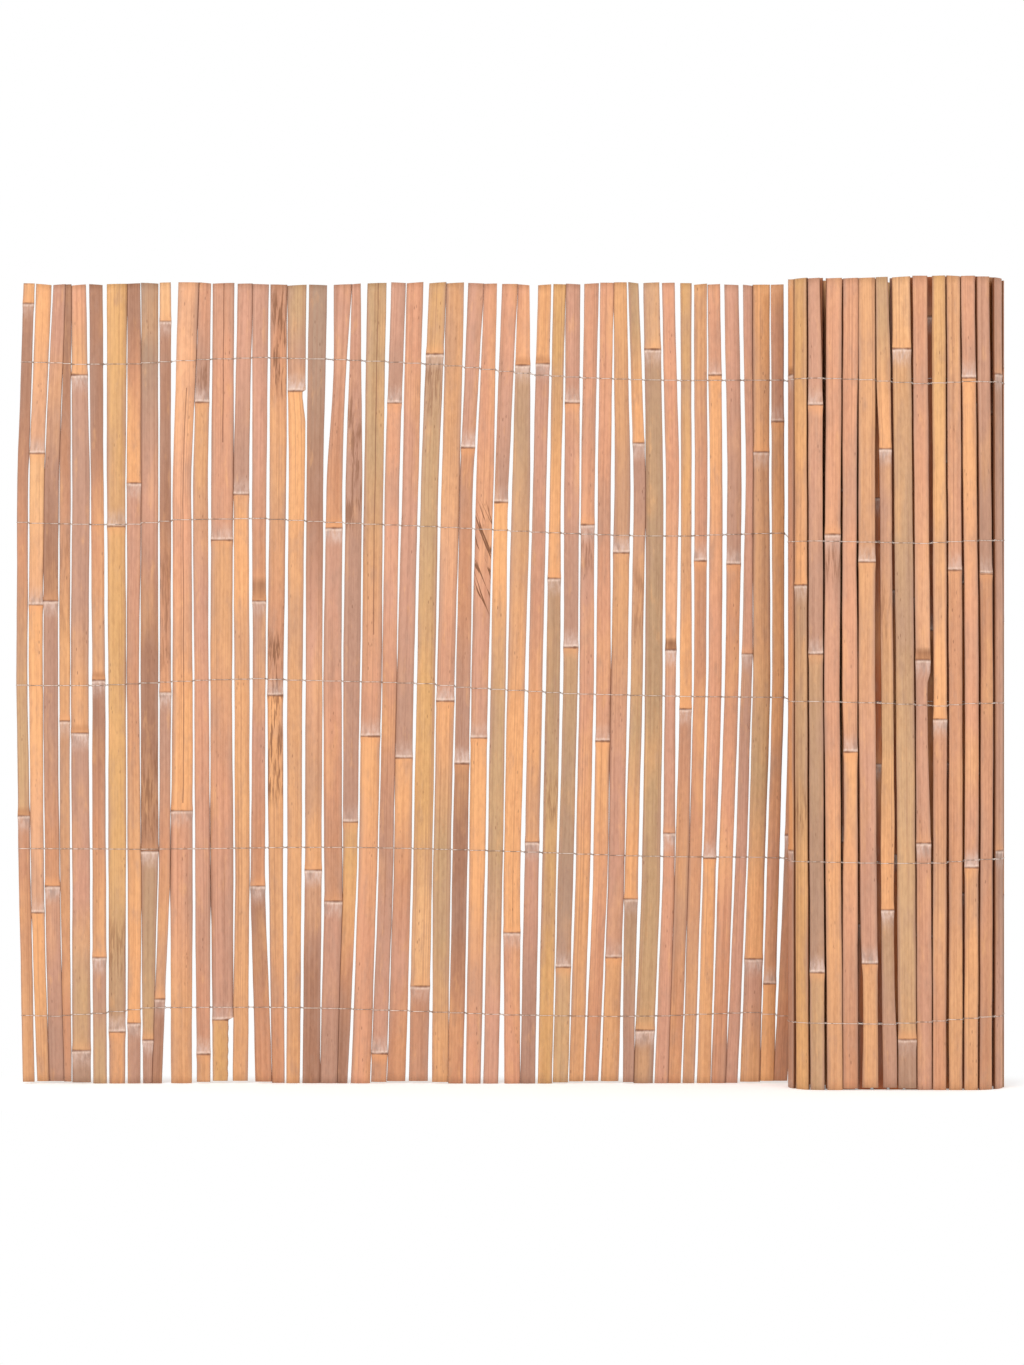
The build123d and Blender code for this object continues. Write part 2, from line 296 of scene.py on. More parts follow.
def weld(points: np.ndarray, triangles: np.ndarray) -> list[np.ndarray]:
    """Sorts a node's points into its separate solids.

    Points at one place are merged, and each triangle hands its lowest label to its corners until no label
    changes, so that every closed solid ends with a label of its own.

    Args:
        points: Corner places, n by 3.
        triangles: Corner numbers, m by 3.

    Returns:
        One array of distinct points for each solid, in the node's own order.
    """
    places, merged = np.unique(np.round(points, 6), axis=0, return_inverse=True)
    corners = merged.reshape(-1)[triangles]
    first_seen = np.full(len(places), len(points))
    np.minimum.at(first_seen, merged.reshape(-1), np.arange(len(points)))
    labels = first_seen.copy()
    while True:
        lowest = labels[corners].min(axis=1)
        spread = labels.copy()
        np.minimum.at(spread, corners.ravel(), np.repeat(lowest, 3))
        if np.array_equal(spread, labels):
            break
        labels = spread
    return [places[labels == label] for label in np.unique(labels)]


def node_solids(node: bpy.types.Object) -> list[np.ndarray]:
    """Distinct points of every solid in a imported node."""
    mesh = node.data
    points = np.empty(len(mesh.vertices) * 3)
    mesh.vertices.foreach_get("co", points)
    mesh.calc_loop_triangles()
    triangles = np.empty(len(mesh.loop_triangles) * 3, int)
    mesh.loop_triangles.foreach_get("vertices", triangles)
    return weld(points.reshape(-1, 3), triangles.reshape(-1, 3))


def smooth(values: np.ndarray, window: int) -> np.ndarray:
    """Running mean of evenly spaced values, carried on straight past both ends."""
    steps = np.arange(1, window + 1)
    before = values[0] - (values[1] - values[0]) * steps[::-1]
    after = values[-1] + (values[-1] - values[-2]) * steps
    padded = np.concatenate([before, values, after])
    kernel = np.hanning(2 * window + 3)[1:-1]
    return np.convolve(padded, kernel / kernel.sum(), mode="valid")


@dataclass
class Surface:
    """Points, faces and named values of a mesh before Blender has it."""

    points: np.ndarray
    faces: list[list[int]]
    values: dict[str, np.ndarray] = field(default_factory=dict)
    face_slots: np.ndarray | None = None

    @staticmethod
    def tube(rings: np.ndarray, turned: bool) -> "Surface":
        """Closed tube over a grid of points: quads from ring to ring, and a cap on each end.

        Args:
            rings: Points, ring by column by 3.
            turned: Whether the columns run clockwise seen from the last ring; the faces are then turned.

        Returns:
            The surface, its two caps last.
        """
        rows, columns = rings.shape[:2]
        grid = np.arange(rows * columns).reshape(rows, columns)
        ahead = np.roll(grid, -1, axis=1)
        faces = np.stack([grid[:-1], ahead[:-1], ahead[1:], grid[1:]], -1).reshape(-1, 4).tolist()
        faces += [grid[0][::-1].tolist(), grid[-1].tolist()]
        if turned:
            faces = [face[::-1] for face in faces]
        return Surface(rings.reshape(-1, 3), faces)

    @staticmethod
    def joined(parts: list["Surface"]) -> "Surface":
        """One surface out of several that carry the same values."""
        starts = np.cumsum([0] + [len(part.points) for part in parts])
        faces = []
        for part, start in zip(parts, starts.tolist()):
            faces += [[start + corner for corner in face] for face in part.faces]
        values = {name: np.concatenate([part.values[name] for part in parts]) for name in parts[0].values}
        slots = np.concatenate([part.face_slots for part in parts])
        return Surface(np.concatenate([part.points for part in parts]), faces, values, slots)

    def piece(self, name: str, materials: list[bpy.types.Material]) -> bpy.types.Object:
        """Puts the surface into a new object at the origin.

        Args:
            name: Name of the piece.
            materials: Its materials, in the order that face_slots counts them.

        Returns:
            The new object, linked into the scene.
        """
        mesh = bpy.data.meshes.new(name)
        mesh.from_pydata(self.points.tolist(), [], self.faces)
        mesh.shade_smooth()
        for title, value in self.values.items():
            kind, part = ("FLOAT_COLOR", "color") if value.shape[1] == 4 else ("FLOAT_VECTOR", "vector")
            store = mesh.attributes.new(title, kind, "POINT")
            store.data.foreach_set(part, value.astype(np.float32).ravel())
        for material in materials:
            mesh.materials.append(material)
        if self.face_slots is not None:
            mesh.polygons.foreach_set("material_index", self.face_slots.astype(np.int32))
        mesh.update()
        obj = bpy.data.objects.new(name, mesh)
        bpy.context.scene.collection.objects.link(obj)
        return obj


@dataclass(frozen=True)
class RingLimits:
    """Limits for telling edges, joints and splits from the rings of a solid."""

    least_points: int = 4
    edge_share: float = 0.9
    whole_share: float = 0.82
    joint_rise: float = 0.35 * MM
    joint_reach: float = 15 * MM
    bloom_ring: float = 7.5 * MM
    split_margin: float = 1.0


LIMITS = RingLimits()


@dataclass(frozen=True)
class Section:
    """Places across a slat where its mesh has columns, from -1 to 1, and its closer rows about a joint."""

    skin: tuple[float, ...] = (-0.93, -0.72, -0.44, -0.15, 0.15, 0.44, 0.72, 0.93)
    back: tuple[float, ...] = (0.95, 0.5, 0.0, -0.5, -0.95)
    down: tuple[float, ...] = (0.3, 0.72)
    corner_rind: float = 0.75
    joint_rows: tuple[float, ...] = (0, 0.5, 1.2, 2, 3, 4.5, 6.5, 9, 12, 16, 22, 30)

    @property
    def share(self) -> np.ndarray:
        """Place of every column across the slat, once round the section."""
        return np.array([-1, *self.skin, 1, 1, 1, *self.back, -1, -1])

    @property
    def rind(self) -> np.ndarray:
        """1 on the skin and 0 on split wood, for every column."""
        bare = np.zeros(len(self.back) + 4)
        return np.array([self.corner_rind, *np.ones(len(self.skin)), self.corner_rind, *bare])


SECTION = Section()


@dataclass(frozen=True)
class LowJoints:
    """Joints of a plain slat: their relief in metres, and where they may lie in millimetres."""

    swell: float = 0.25 * MM
    groove: float = 0.3 * MM
    web: float = 0.7 * MM
    margin: float = 40
    first: float = 420
    apart: tuple[float, float] = (290, 470)


LOW_JOINTS = LowJoints()


@dataclass
class Slat:
    """One split of cane, read from its solid.

    Across the slat, u runs along the mat and v to the mat's outer side; both start at the slat's middle.
    """

    number: int
    middle: np.ndarray
    run: np.ndarray
    skin: float
    foot: float
    top: float
    heights: np.ndarray
    lefts: np.ndarray
    rights: np.ndarray
    half_thick: float
    joints: list[Joint]
    look: SlatLook

    grid: np.ndarray = field(init=False)
    left_line: np.ndarray = field(init=False)
    right_line: np.ndarray = field(init=False)
    left_painted_shade: np.ndarray = field(init=False)
    right_painted_shade: np.ndarray = field(init=False)

    edge_round: float = 0.35 * MM
    culm_radius: float = 45 * MM
    swell: float = 0.75 * MM
    swell_bloom: float = 6.0 * MM
    swell_flush: float = 3.2 * MM
    groove: float = 0.55 * MM
    groove_place: float = 0.8 * MM
    groove_width: float = 0.9 * MM
    widen: float = 0.5 * MM
    widen_run: float = 7 * MM
    web: float = 1.1 * MM
    web_run: float = 2.6 * MM
    hollow: float = 0.5 * MM
    wobble: float = 0.3 * MM
    slant: float = 1.6 * MM
    ragged: float = 0.05
    ragged_run: float = 2.3 * MM
    # Painted shade along the edges: its first strength, its share on the skin and where it starts across the
    # slat.
    painted_rim_shade: float = 0.9
    skin_painted_shade: float = 0.5
    painted_shade_from: float = 0.86
    warmth: float = 0.0
    # Painted shade that darkens the slat's whole tone; plain white except on the roll's inner turns.
    painted_shade_tint: Colour = (1.0, 1.0, 1.0)
    drop: float = 0.0
    tone_step: float = 1.5 * MM
    grey: float = 0.42
    grey_run: float = 70 * MM
    warm: float = 0.28
    warm_run: float = 45 * MM
    gain: tuple[float, float] = (0.87, 0.96)
    scar_ease: float = 6 * MM
    streak_ease: float = 20 * MM
    row_step: float = 12 * MM
    least_rows: int = 8
    foot_clear: float = 1.5 * MM
    top_clear: float = 2.5 * MM
    split_step: float = 2.5
    split_past: float = 8
    least_step: float = 0.4 * MM
    wave_lengths: tuple[float, ...] = (231.0, 97.0, 41.0)
    wave_weights: tuple[float, ...] = (0.6, 0.3, 0.16)
    grain_apart: float = 0.1
    grid_size: int = 401
    easing: int = 22
    far: float = 70.0

    def __post_init__(self) -> None:
        """Lays both edges on an even grid of heights: eased bows that waver and widen at the joints."""
        self.grid = np.linspace(self.foot, self.top, self.grid_size)
        past, _ = self.past_joint(self.grid)
        wide = self.widen * np.exp(-((past / self.widen_run) ** 2))
        left = smooth(np.interp(self.grid, self.heights, self.lefts), self.easing)
        right = smooth(np.interp(self.grid, self.heights, self.rights), self.easing)
        self.left_line = left + self.waver(self.grid, 2 * self.number) - wide
        self.right_line = right + self.waver(self.grid, 2 * self.number + 1) + wide
        # Painted shade along both edges, at its first strength until the gaps are settled.
        self.left_painted_shade = np.full(self.grid_size, self.painted_rim_shade)
        self.right_painted_shade = np.full(self.grid_size, self.painted_rim_shade)

    @property
    def out(self) -> np.ndarray:
        """Unit x and y towards the mat's outer side."""
        return np.array([-self.run[1], self.run[0]])

    @staticmethod
    def read(
        points: np.ndarray, number: int, outward: np.ndarray, skin: float, slat_look: SlatLook
    ) -> "Slat":
        """Finds a slat's axes, edges and joints in the points of its solid.

        The rings of the solid lie level, so points of one height are one ring. The width runs along the
        main axis of all rings laid over each other. The crown of a ring is the height of its skin's edges
        plus the rise of the cane's round, and a ring whose crown stands proud is a joint.

        Args:
            points: Points of the solid, in metres.
            number: Place of the slat in the mat, for its draws.
            outward: Roughly the way to the mat's outer side there, as x and y.
            skin: +1 if the slat's skin is on the mat's outer side, or -1.
            slat_look: Its tones and marks.

        Returns:
            The slat.
        """
        rounded = np.round(points[:, 2], 5)
        levels, ring_of, counts = np.unique(rounded, return_inverse=True, return_counts=True)
        ring_of = ring_of.reshape(-1)
        whole = counts[ring_of] >= LIMITS.least_points
        points, ring_of = points[whole], ring_of[whole]
        means = np.stack([np.bincount(ring_of, points[:, k]) for k in (0, 1)], 1)
        means = means / np.maximum(1, np.bincount(ring_of))[:, None]
        flat = points[:, :2] - means[ring_of]
        _, axes = np.linalg.eigh(flat.T @ flat)
        run = axes[:, 1]
        if -run[1] * outward[0] + run[0] * outward[1] < 0:
            run = -run
        out = np.array([-run[1], run[0]])
        used = np.unique(ring_of)
        middle = np.median(means[used], axis=0)
        across = (points[:, :2] - middle) @ run
        depth = (points[:, :2] - middle) @ out * skin
        lefts = np.array([across[ring_of == k].min() for k in used])
        rights = np.array([across[ring_of == k].max() for k in used])
        halves = (rights - lefts) / 2
        mids = np.zeros(used.max() + 1)
        mids[used] = (rights + lefts) / 2
        spans = np.ones(used.max() + 1)
        spans[used] = halves
        at_edge = np.abs(across - mids[ring_of]) > LIMITS.edge_share * spans[ring_of]
        radius = Slat.culm_radius
        crowns = np.array([depth[at_edge & (ring_of == k)].max() for k in used])
        crowns = crowns + radius - np.sqrt(radius ** 2 - halves ** 2)
        crown, back = np.median(np.sort(crowns)[: max(2, len(crowns) // 2)]), depth.min()
        heights = levels[used]
        split = slat_look.split
        if split is not None:
            widths = rights - lefts
            whole = widths > LIMITS.whole_share * np.median(widths)
            heights, lefts, rights, crowns = heights[whole], lefts[whole], rights[whole], crowns[whole]
        chance = Seed.JOINT.draws(number)
        joints = []
        for k in np.nonzero(crowns > crown + LIMITS.joint_rise)[0]:
            near = np.abs(heights - heights[k]) < LIMITS.joint_reach
            if crowns[k] < crowns[near].max():
                continue
            way = 1.0 if heights[k + 1] - heights[k] < LIMITS.bloom_ring else -1.0
            joints.append(Joint.drawn(float(heights[k]), way, chance))
        if split is not None:
            margin = LIMITS.split_margin
            whole = (heights < (split.low - margin) * MM) | (heights > (split.high + margin) * MM)
            heights, lefts, rights = heights[whole], lefts[whole], rights[whole]
        heart = middle + out * skin * (crown + back) / 2
        half_thick = (crown - back) / 2
        foot, top = points[:, 2].min(), points[:, 2].max()
        return Slat(
            number, heart, run, skin, foot, top, heights, lefts, rights, half_thick, joints, slat_look
        )

    def edges(self, z: np.ndarray) -> tuple[np.ndarray, np.ndarray]:
        """Left and right edge at given heights, as distances along u."""
        return np.interp(z, self.grid, self.left_line), np.interp(z, self.grid, self.right_line)

    def past_joint(self, z: np.ndarray) -> tuple[np.ndarray, np.ndarray]:
        """Signed distance to the nearest joint, positive on its bloom side, and that joint's place.

        Args:
            z: Heights in metres.

        Returns:
            Distances in metres, -9 where the slat has no joint, and places in the list of joints.
        """
        if not self.joints:
            return np.full_like(z, -9.0), np.zeros(len(z), int)
        heights = np.array([joint.height for joint in self.joints])
        ways = np.array([joint.way for joint in self.joints])
        nearest = np.abs(z[:, None] - heights).argmin(axis=1)
        return (heights[nearest] - z) * ways[nearest], nearest

    def grow_joints(self) -> None:
        """Gives a plain slat low joints at heights drawn for it alone."""
        low = LOW_JOINTS
        self.swell, self.groove, self.web = low.swell, low.groove, low.web
        chance = Seed.HIDDEN.draws(self.number)
        height = self.foot + chance.uniform(low.margin, low.first) * MM
        while height < self.top - low.margin * MM:
            way = 1.0 if chance.uniform() < 0.5 else -1.0
            self.joints.append(Joint.drawn(height, way, chance))
            height += chance.uniform(*low.apart) * MM

    def trim(self, wedge: Wedge) -> None:
        """Lets one edge run in over a wedge's stretch."""
        inward = np.interp(self.grid / MM, wedge.stops, (0, wedge.depth, wedge.depth, 0)) * MM
        if wedge.side * self.run[0] > 0:
            self.right_line -= inward
        else:
            self.left_line += inward

    def rows(self) -> np.ndarray:
        """Heights of the mesh's rings: an even step, with close steps about every joint and split."""
        count = max(self.least_rows, int((self.top - self.foot) / self.row_step))
        even = np.linspace(self.foot, self.top, count)
        above = np.array(SECTION.joint_rows)
        near = np.concatenate([-above[::-1], above[1:]]) * MM
        extra = [joint.height + near for joint in self.joints]
        if self.look.split is not None:
            ends = self.look.split.low, self.look.split.high + self.split_past
            extra.append(np.arange(*ends, self.split_step) * MM)
        z = np.sort(np.concatenate([even] + extra))
        z = z[(z > self.foot + self.foot_clear) & (z < self.top - self.top_clear)]
        z = z[np.concatenate([[True], np.diff(z) > self.least_step])]
        return np.concatenate([[self.foot], z, [self.top]])

    def thickening(self, past: np.ndarray) -> np.ndarray:
        """How far the skin stands out near a joint: a swelling on both sides of a narrow groove."""
        wide = np.where(past > 0, self.swell_bloom, self.swell_flush)
        ridge = self.swell * np.exp(-((past / wide) ** 2))
        return ridge - self.groove * np.exp(-(((past + self.groove_place) / self.groove_width) ** 2))

    def waver(self, z: np.ndarray, edge: int) -> np.ndarray:
        """Slow uneven wander of an edge: three sine waves of odd lengths and phases."""
        lengths, weights = np.array(self.wave_lengths) * MM, np.array(self.wave_weights)
        phases = Seed.WAVER.draws(edge).uniform(0, 2 * math.pi, len(lengths))
        return self.wobble * (weights * np.sin(2 * math.pi * z[:, None] / lengths + phases)).sum(axis=1)

    def torn(self, z: np.ndarray) -> np.ndarray:
        """How much of the right edge is broken away at given heights."""
        split = self.look.split
        if split is None:
            return np.zeros_like(z)
        run = (split.high * MM - z) / ((split.high - split.low) * MM)
        step = np.clip(run * (split.high - split.low) / split.step, 0, 1)
        fade = np.clip(1 - run * split.fade, 0, 1)
        ragged = 1 + self.ragged * np.sin(z / self.ragged_run)
        return np.where(run < 1, split.depth * MM * step * fade * ragged, 0)

    def skin_height(self, share: np.ndarray, half: np.ndarray, past: np.ndarray) -> np.ndarray:
        """Height of the skin above the slat's middle plane: the cane's round and the joint's swelling."""
        sag = self.culm_radius - np.sqrt(self.culm_radius ** 2 - (share * half) ** 2)
        return self.half_thick - sag + self.thickening(past)

    def tone_at(self, z: np.ndarray, past: np.ndarray) -> np.ndarray:
        """Skin colour along the slat.

        The named tones of each length are spaced evenly from joint to joint and run into each other. The
        cane is greyer beyond the bloom of a joint and warmer on the joint's other side. On the roll's inner
        turns the colour is darkened by a painted shade.

        Args:
            z: Heights in metres.
            past: Distance past the nearest joint, positive on its bloom side.

        Returns:
            Linear colours, one row per height.
        """
        ends = [self.top] + [joint.height for joint in reversed(self.joints)] + [self.foot]
        stops, tones = [], []
        for place, (high, low) in enumerate(zip(ends, ends[1:])):
            length = self.look.lengths[min(place, len(self.look.lengths) - 1)]
            spread = np.linspace(high, low, 2 * len(length) + 1)[1::2]
            stops += [high - self.tone_step, *spread, low + self.tone_step]
            tones += [length[0].light, *(tone.light for tone in length), length[-1].light]
        tones = np.stack(tones)[::-1]
        base = np.stack([np.interp(z, stops[::-1], tones[:, k]) for k in range(3)], 1)
        grey = np.where(past > 0, self.grey * np.exp(-past / self.grey_run), 0)[:, None]
        warm = np.where((past <= 0) & (past > -1), self.warm * np.exp(past / self.warm_run), 0)[:, None]
        base = base * (1 - self.warmth) + Tone.PEACH.light * self.warmth
        base = base * (1 - grey) + Tone.MAUVE.light * grey
        base = base * (1 - warm) + Tone.APRICOT.light * warm
        # The tone is darkened here by the painted shade of the roll's inner turns.
        return base * Seed.TONE.draws(self.number).uniform(*self.gain) * np.array(self.painted_shade_tint)

    def surface(self) -> Surface:
        """The slat's mesh.

        Across, the section runs over the round skin, down the right side, along the hollow back and up the
        left side; along, it is carried from the foot to the top on the slat's eased edges.

        Returns:
            The closed surface with its two cut ends.
        """
        z = self.rows()
        left, right = self.edges(z)
        right = right - self.torn(z)
        past, _ = self.past_joint(z)
        half, mid = (right - left) / 2, (right + left) / 2
        on_skin, on_back, down = (np.array(line) for line in (SECTION.skin, SECTION.back, SECTION.down))
        share = SECTION.share
        skin = self.skin_height(on_skin[None, :], half[:, None], past[:, None])
        corner = self.skin_height(np.ones((1, 1)), half[:, None], past[:, None]) - self.edge_round
        bulge = 1 - on_back ** 2
        web = self.web * np.exp(-((past / self.web_run) ** 2))
        back = -self.half_thick + (self.hollow * bulge)[None, :] - web[:, None] * bulge[None, :]
        side = corner + (-self.half_thick - corner) * down[None, :]
        depth = np.concatenate([corner, skin, corner, side, back, side[:, ::-1]], 1)
        u = mid[:, None] + half[:, None] * share[None, :]
        v = depth * self.skin

        points = np.empty(u.shape + (3,))
        points[..., :2] = self.middle + u[..., None] * self.run + v[..., None] * self.out
        points[..., 2] = z[:, None]
        lean = Seed.SLANT.draws(self.number).uniform(-1, 1) * self.slant
        points[-1, :, 2] -= np.abs(lean) * (1 + np.sign(lean) * share) / 2

        made = Surface.tube(points, turned=self.skin > 0)
        made.face_slots = np.zeros(len(made.faces))
        made.face_slots[-2:] = 1
        made.values = self.values(z, u - mid[:, None], v)
        return made

    def values(self, z: np.ndarray, u: np.ndarray, v: np.ndarray) -> dict[str, np.ndarray]:
        """Named values that the finish reads at every point.

        Args:
            z: Heights of the rings.
            u: Distance from the slat's middle line, ring by column.
            v: Distance from its middle plane, ring by column.

        Returns:
            tone (darkened by a painted shade on the roll's inner turns), fibre (place in the slat's own
            grain), joint (millimetres from it on its bloom side and on its other side, and painted shade
            along the edges), mark (across, rind, stain), crack (place across, lowest and highest point) and
            flaw (its kind, strength of the bloom and of the flush).
        """
        past, which = self.past_joint(z)
        share, rind = SECTION.share, SECTION.rind
        full = np.ones_like(u)
        tone = np.ones(u.shape + (4,))
        tone[..., :3] = self.tone_at(z, past)[:, None, :]
        fibre = np.stack([u, v + self.grain_apart * self.number, full * z[:, None]], -1)

        bloom_side = np.where(past >= 0, np.minimum(past / MM, self.far), self.far)
        flush_side = np.where(past <= 0, np.minimum(-past / MM, self.far), self.far)
        # Painted shade: darker towards both edges of the skin and full on the split sides, where the gaps
        # between slats lie in shade.
        at_edge = np.clip((np.abs(share) - self.painted_shade_from) / (1 - self.painted_shade_from), 0, 1)
        at_edge = at_edge * np.where(rind > 0, self.skin_painted_shade, 1.0)
        dark = np.interp(z, self.grid, self.left_painted_shade)[:, None] * (at_edge * (share < 0))
        dark = dark + np.interp(z, self.grid, self.right_painted_shade)[:, None] * (at_edge * (share > 0))
        joint = np.stack([full * bloom_side[:, None], full * flush_side[:, None], dark], -1)

        stain = np.zeros_like(u)
        for spot in self.look.marks:
            ease = self.scar_ease if spot.flaw is Flaw.SCAR else self.streak_ease
            low, high = spot.low * MM - self.drop, spot.high * MM - self.drop
            inside = np.clip((z - low) / ease + 0.5, 0, 1) * np.clip((high - z) / ease + 0.5, 0, 1)
            stain = np.maximum(stain, full * (inside * spot.strength)[:, None])
        mark = np.stack([full * share, full * rind, stain], -1)
        gap = self.look.crack
        crack = np.stack([full * gap.place, full * gap.low * MM, full * gap.high * MM], -1)

        kind = float(max((spot.flaw for spot in self.look.marks), default=0))
        blooms = np.array([joint.bloom for joint in self.joints] or [0.0])[which]
        flushes = np.array([joint.flush for joint in self.joints] or [0.0])[which]
        flaw = np.stack([full * kind, full * blooms[:, None], full * flushes[:, None]], -1)
        named = {"tone": tone, "fibre": fibre, "joint": joint, "mark": mark, "crack": crack, "flaw": flaw}
        return {name: value.reshape(-1, value.shape[-1]) for name, value in named.items()}


def paint(rgb: Colour) -> tuple[float, float, float, float]:
    """A display colour as a colour socket takes it."""
    red, green, blue = linear(rgb)
    return float(red), float(green), float(blue), 1.0


@dataclass(frozen=True)
class Noise:
    """A noise by its lumps per metre along the three axes of the grain, its detail and its roughness."""

    scale: tuple[float, float, float]
    detail: float = 2.0
    rough: float = 0.5


class Bench:
    """The node tree of a material or a world, with short calls for the nodes that the finishes need."""

    def __init__(self, owner: bpy.types.Material | bpy.types.World) -> None:
        """Empties the owner's tree."""
        owner.use_nodes = True
        self.owner = owner
        self.tree = owner.node_tree
        self.tree.nodes.clear()

    @staticmethod
    def material(name: str) -> "Bench":
        """A bench for a new material of that name."""
        return Bench(bpy.data.materials.new(name))

    def put(self, socket: Socket, value: Plug) -> None:
        """Links a socket to another, or sets its own value; a colour of three parts is a display colour."""
        if isinstance(value, bpy.types.NodeSocket):
            self.tree.links.new(value, socket)
        elif socket.type == "RGBA" and len(value) == 3:
            socket.default_value = paint(value)
        else:
            socket.default_value = value

    def node(
        self, kind: str, inputs: dict[str | int, Plug] | None = None, **settings: object
    ) -> bpy.types.Node:
        """Adds a node.

        Args:
            kind: Blender's name for the node type.
            inputs: What goes into its sockets, by name or number.
            **settings: The node's own properties.

        Returns:
            The node.
        """
        made = self.tree.nodes.new(kind)
        for key, value in settings.items():
            setattr(made, key, value)
        for key, value in (inputs or {}).items():
            self.put(made.inputs[key], value)
        return made

    def value(self, name: str, part: str = "Vector") -> Socket:
        """The vector or the colour of a named attribute."""
        return self.node("ShaderNodeAttribute", attribute_name=name).outputs[part]

    def parts(self, vector: Socket) -> tuple[Socket, Socket, Socket]:
        """The three parts of a vector."""
        made = self.node("ShaderNodeSeparateXYZ", {0: vector})
        return made.outputs[0], made.outputs[1], made.outputs[2]

    def sum(self, operation: str, *values: Plug) -> Socket:
        """One sum of Blender's Math node."""
        return self.node("ShaderNodeMath", dict(enumerate(values)), operation=operation).outputs[0]

    def times(self, first: Plug, *others: Plug) -> Socket:
        """Product of several values."""
        product = first
        for other in others:
            product = self.sum("MULTIPLY", product, other)
        return product

    def plus(self, first: Plug, *others: Plug) -> Socket:
        """Total of several values."""
        total = first
        for other in others:
            total = self.sum("ADD", total, other)
        return total

    def blend(self, *terms: tuple[Plug, float]) -> Socket:
        """Total of several values, each times its share."""
        return self.plus(*(self.times(value, share) for value, share in terms))

    def ramp(self, value: Plug, low: float, high: float, start: float = 0.0, end: float = 1.0) -> Socket:
        """Smooth step of a value from start at low to end at high."""
        inputs = {"Value": value, "From Min": low, "From Max": high, "To Min": start, "To Max": end}
        return self.node("ShaderNodeMapRange", inputs, interpolation_type="SMOOTHSTEP").outputs[0]

    def stretch(self, place: Socket, scale: tuple[float, float, float]) -> Socket:
        """A place stretched by its own scale along each axis."""
        return self.node("ShaderNodeVectorMath", {0: place, 1: scale}, operation="MULTIPLY").outputs[0]

    def noise(self, place: Socket, noise: Noise) -> Socket:
        """Noise at a place."""
        wide = self.stretch(place, noise.scale)
        inputs = {"Vector": wide, "Scale": 1.0, "Detail": noise.detail, "Roughness": noise.rough}
        return self.node("ShaderNodeTexNoise", inputs).outputs[0]

    def cells(self, place: Socket, scale: tuple[float, float, float]) -> Socket:
        """Distance to the middle of the nearest of many scattered cells."""
        inputs = {"Vector": self.stretch(place, scale), "Scale": 1.0}
        return self.node("ShaderNodeTexVoronoi", inputs).outputs["Distance"]

    def mix(self, share: Plug, first: Plug, second: Plug, way: str = "MIX") -> Socket:
        """Mixes two colours."""
        settings = {"data_type": "RGBA", "blend_type": way, "clamp_factor": True}
        return self.node("ShaderNodeMix", {0: share, 6: first, 7: second}, **settings).outputs[2]

    def bump(self, height: Socket, strength: float, distance: float) -> Socket:
        """Normal of a surface with a fine relief."""
        inputs = {"Strength": strength, "Distance": distance, "Height": height}
        return self.node("ShaderNodeBump", inputs).outputs[0]

    def background_rays(self) -> Socket:
        """1 for the rays that see the background itself: camera, glossy and transmission rays."""
        path = self.node("ShaderNodeLightPath").outputs
        seen = self.sum("MAXIMUM", path["Is Camera Ray"], path["Is Glossy Ray"])
        return self.sum("MAXIMUM", seen, path["Is Transmission Ray"])

    def shader(self, inputs: dict[str, Plug]) -> bpy.types.Material:
        """Ends the tree in a Principled shader and hands over the material."""
        made = self.node("ShaderNodeBsdfPrincipled", inputs)
        self.node("ShaderNodeOutputMaterial", {"Surface": made.outputs[0]})
        return self.owner


